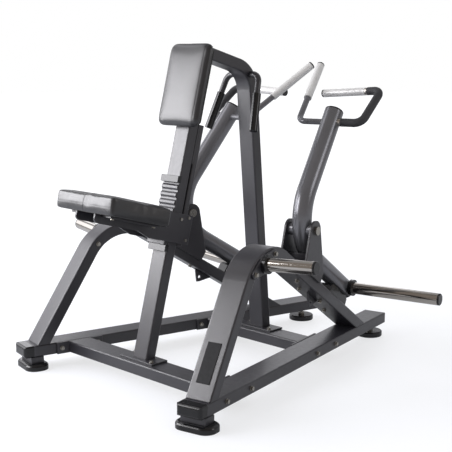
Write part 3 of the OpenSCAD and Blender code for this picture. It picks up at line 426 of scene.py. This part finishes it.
def add_cloth(obj, group):
    mod = obj.modifiers.new("cloth", "CLOTH")
    mod.settings.use_pressure = True
    mod.settings.uniform_pressure_force = PAD_PRESSURE
    mod.settings.vertex_group_mass = group
    mod.settings.effector_weights.gravity = 0
    mod.settings.tension_stiffness = PAD_STIFFNESS
    mod.settings.compression_stiffness = PAD_STIFFNESS
    mod.settings.shear_stiffness = PAD_STIFFNESS
    mod.settings.bending_stiffness = PAD_STIFFNESS
    mod.point_cache.frame_start = 1
    mod.point_cache.frame_end = PAD_FRAMES


def swell(obj, held):
    """Cloth under pressure, fixed where it is held, no point moving further than the cap."""
    start = [v.co.copy() for v in obj.data.vertices]
    back = obj.vertex_groups.new(name="back")
    back.add([i for i, co in enumerate(start) if held(co)], 1.0, "REPLACE")
    add_cloth(obj, back.name)
    for number in range(1, PAD_FRAMES + 1):
        bpy.context.scene.frame_set(number)
    keep_result(obj)
    for v, old in zip(obj.data.vertices, start):
        move = v.co - old
        if move.length > PAD_CAP:
            v.co = old + move * (PAD_CAP / move.length)
    bpy.context.scene.frame_set(1)


def fit(obj, size, relax, dome):
    """Relaxes the cover, then brings it to the pad's size, crowned, with its back on z = 0."""
    mod = obj.modifiers.new("relax", "SMOOTH")
    mod.iterations = relax
    keep_result(obj)
    spots = [v.co for v in obj.data.vertices]
    low = Vector([min(co[i] for co in spots) for i in range(3)])
    high = Vector([max(co[i] for co in spots) for i in range(3)])
    for v in obj.data.vertices:
        share = [(v.co[i] - low[i]) / (high[i] - low[i]) for i in range(3)]
        along = 1 - (2 * share[0] - 1) ** DOME_POWER_ALONG
        across = 1 - (2 * share[1] - 1) ** DOME_POWER_ACROSS
        height = size.z - dome + dome * along * across
        v.co = ((share[0] - 0.5) * size.x, (share[1] - 0.5) * size.y, share[2] * height)


def subdivide(obj):
    mod = obj.modifiers.new("subdivide", "SUBSURF")
    mod.levels = 1
    keep_result(obj)


def press_seams(obj, seams):
    """Pulls the cover in along its seams. A seam gives a point's distance from it, or None, and a depth."""
    normals = [v.normal.copy() for v in obj.data.vertices]
    moves = []
    for v, normal in zip(obj.data.vertices, normals):
        pull = 0.0
        for distance, depth in seams:
            away = distance(v.co, normal)
            if away is not None:
                pull = max(pull, depth * math.exp(-((away / SEAM_WIDTH) ** 2)))
        moves.append(-pull * normal)
    for v, move in zip(obj.data.vertices, moves):
        v.co += move


def untucked(co):
    return 0.0


def pad(node, name, body, axes, size, held, seams, relax, lift=0.0, dome=0.0, tuck=untucked):
    """A leather pad in place of a CAD cushion. tuck says how far a point is drawn back along the pad."""
    obj = pad_mesh(node, name, axes, size, lift)
    remesh(obj)
    swell(obj, held)
    fit(obj, size, relax, dome)
    subdivide(obj)
    for v in obj.data.vertices:
        v.co.x -= tuck(v.co)
    press_seams(obj, seams)
    obj.data.transform(axes)
    for face in obj.data.polygons:
        face.use_smooth = True
    dress(obj, "pad_leather")
    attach(obj, body)
    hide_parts(node)


def chest_pad():
    origin = POST_AT + BOARD_T * POST_FRONT + CHEST_MID * POST_UP
    panel = CHEST_SIZE.y / 2 - CHEST_PANEL_INSET

    def at_back(co):
        return co.z < PINNED

    def panel_seam(co, normal):
        return abs(co.y) - panel if co.z > PINNED else None

    pad("chest_cushion", "chest_pad", "frame", axes_at(origin, POST_UP, POST_FRONT), CHEST_SIZE,
        at_back, [(panel_seam, CHEST_SEAM_DEPTH)], CHEST_RELAX, dome=CHEST_DOME)


def seat_pad():
    origin = POST_AT + (SEAT_GAP + SEAT_SIZE.x / 2) * POST_FRONT + SEAT_BASE * POST_UP
    front = SEAT_SIZE.x / 2 - SEAT_FRONT_DEPTH

    def round_board(co):
        over_board = abs(co.x) < SEAT_SIZE.x / 2 - BOARD_T and abs(co.y) < SEAT_SIZE.y / 2 - BOARD_T
        return co.z < (SEAT_POCKET + PINNED if over_board else PINNED)

    def front_tuck(co):
        share = max(0.0, co.x * 2 / SEAT_SIZE.x) ** TUCK_POWER
        lean = SEAT_FRONT_LEAN * (1 - co.z / SEAT_SIZE.z)
        return share * (lean + SEAT_FRONT_TUCK * max(0.0, 1 - co.z / SEAT_BAND) ** BAND_POWER)

    def band_seam(co, normal):
        return co.z - SEAT_BAND if co.x > front and abs(normal.z) < BAND_SEAM_UPRIGHT else None

    def middle_seam(co, normal):
        return co.y if co.x > front and co.z > PINNED else None

    pad("seat_cushion", "seat_pad", "seat", axes_at(origin, POST_FRONT, POST_UP), SEAT_SIZE,
        round_board, [(band_seam, BAND_SEAM_DEPTH), (middle_seam, MIDDLE_SEAM_DEPTH)], SEAT_RELAX,
        lift=SEAT_LIFT, tuck=front_tuck)


# Studio

def camera():
    data = bpy.data.cameras.new("camera")
    data.lens = CAMERA_LENS_MM
    data.sensor_width = CAMERA_SENSOR_MM
    obj = bpy.data.objects.new("camera", data)
    flat = math.cos(CAMERA_PITCH)
    ahead = Vector((flat * math.cos(CAMERA_YAW), flat * math.sin(CAMERA_YAW), math.sin(CAMERA_PITCH)))
    obj.location = CAMERA_AT
    obj.rotation_euler = ahead.to_track_quat("-Z", "Y").to_euler()
    bpy.context.scene.collection.objects.link(obj)
    bpy.context.scene.camera = obj


def softbox(name, at, aim, size, power, roll):
    data = bpy.data.lights.new(name, "AREA")
    data.shape = "RECTANGLE"
    data.size, data.size_y = size
    data.energy = power
    data.color = LAMP_TINT
    obj = bpy.data.objects.new(name, data)
    obj.location = at
    turn = (Vector(aim) - Vector(at)).to_track_quat("-Z", "Y") @ Quaternion((0, 0, 1), math.radians(roll))
    obj.rotation_euler = turn.to_euler()
    obj.visible_camera = False
    bpy.context.scene.collection.objects.link(obj)


def seen_rays(tree, mirrored=1.0):
    """1 on camera rays, a share on glossy and transmission rays, else 0."""
    path = tree.nodes.new("ShaderNodeLightPath")
    total = path.outputs["Is Camera Ray"]
    for other in ("Is Glossy Ray", "Is Transmission Ray"):
        node = tree.nodes.new("ShaderNodeMath")
        node.operation = "MULTIPLY_ADD"
        node.inputs[1].default_value = mirrored
        tree.links.new(path.outputs[other], node.inputs[0])
        tree.links.new(total, node.inputs[2])
        total = node.outputs[0]
    return total


def room_color(tree):
    """Pale towards the backdrop, dim and warm behind the camera."""
    coords = tree.nodes.new("ShaderNodeTexCoord")
    facing = tree.nodes.new("ShaderNodeVectorMath")
    facing.operation = "DOT_PRODUCT"
    facing.inputs[1].default_value = BACKDROP_SIDE
    tree.links.new(coords.outputs["Generated"], facing.inputs[0])
    room = tree.nodes.new("ShaderNodeValToRGB")
    dim, pale = room.color_ramp.elements
    dim.position, pale.position = 0.0, BACKDROP_EDGE
    dim.color, pale.color = ROOM_DIM, ROOM_PALE
    tree.links.new(facing.outputs["Value"], room.inputs["Fac"])
    return room.outputs["Color"]


def world():
    """White to the camera, a plain white fill on surfaces, and the room in what is glossy."""
    studio_world = bpy.data.worlds.new("studio")
    bpy.context.scene.world = studio_world
    studio_world.use_nodes = True
    tree = studio_world.node_tree
    back = tree.nodes["Background"]
    level = tree.nodes.new("ShaderNodeMapRange")
    level.inputs["To Min"].default_value = WORLD_FILL
    tree.links.new(seen_rays(tree), level.inputs["Value"])
    tree.links.new(level.outputs["Result"], back.inputs["Strength"])
    path = tree.nodes.new("ShaderNodeLightPath")
    shown = tree.nodes.new("ShaderNodeMix")
    shown.data_type = "RGBA"
    shown.inputs[MIX_COLOR_A].default_value = WHITE
    tree.links.new(path.outputs["Is Glossy Ray"], shown.inputs["Factor"])
    tree.links.new(room_color(tree), shown.inputs[MIX_COLOR_B])
    tree.links.new(shown.outputs[MIX_COLOR_RESULT], back.inputs["Color"])


def floor_glow(tree):
    """Strength of the glow, which grows away from the part. Mirrors show a share, and it lights nothing."""
    coords = tree.nodes.new("ShaderNodeTexCoord")
    reach = tree.nodes.new("ShaderNodeVectorMath")
    reach.operation = "LENGTH"
    tree.links.new(coords.outputs["Object"], reach.inputs[0])
    glow = tree.nodes.new("ShaderNodeMapRange")
    limits = {"From Min": GLOW_NEAR, "From Max": GLOW_FAR, "To Min": GLOW_LOW, "To Max": GLOW_HIGH}
    for key, value in limits.items():
        glow.inputs[key].default_value = value
    tree.links.new(reach.outputs["Value"], glow.inputs["Value"])
    shown = tree.nodes.new("ShaderNodeMath")
    shown.operation = "MULTIPLY"
    tree.links.new(glow.outputs["Result"], shown.inputs[0])
    tree.links.new(seen_rays(tree, FLOOR_MIRRORED), shown.inputs[1])
    return shown.outputs[0]


def floor_material():
    mat = bpy.data.materials.new("floor")
    mat.use_nodes = True
    tree = mat.node_tree
    bsdf = tree.nodes["Principled BSDF"]
    bsdf.inputs["Base Color"].default_value = FLOOR_COLOR
    bsdf.inputs["Roughness"].default_value = FLOOR_ROUGHNESS
    bsdf.inputs["Specular IOR Level"].default_value = FLOOR_SPECULAR
    bsdf.inputs["Emission Color"].default_value = WHITE
    tree.links.new(floor_glow(tree), bsdf.inputs["Emission Strength"])
    return mat


def floor():
    mesh = bpy.data.meshes.new("floor")
    signs = [(-1, -1), (1, -1), (1, 1), (-1, 1)]
    mesh.from_pydata([(x * FLOOR_HALF, y * FLOOR_HALF, 0) for x, y in signs], [], [(0, 1, 2, 3)])
    mesh.materials.append(floor_material())
    obj = bpy.data.objects.new("floor", mesh)
    obj.location.z = -FLOOR_DROP
    bpy.context.scene.collection.objects.link(obj)


def studio():
    bpy.context.scene.view_settings.view_transform = "Standard"
    camera()
    world()
    floor()
    for name, setting in SOFTBOXES.items():
        softbox(name, *setting)


dress_nodes()
chest_pad()
seat_pad()
studio()
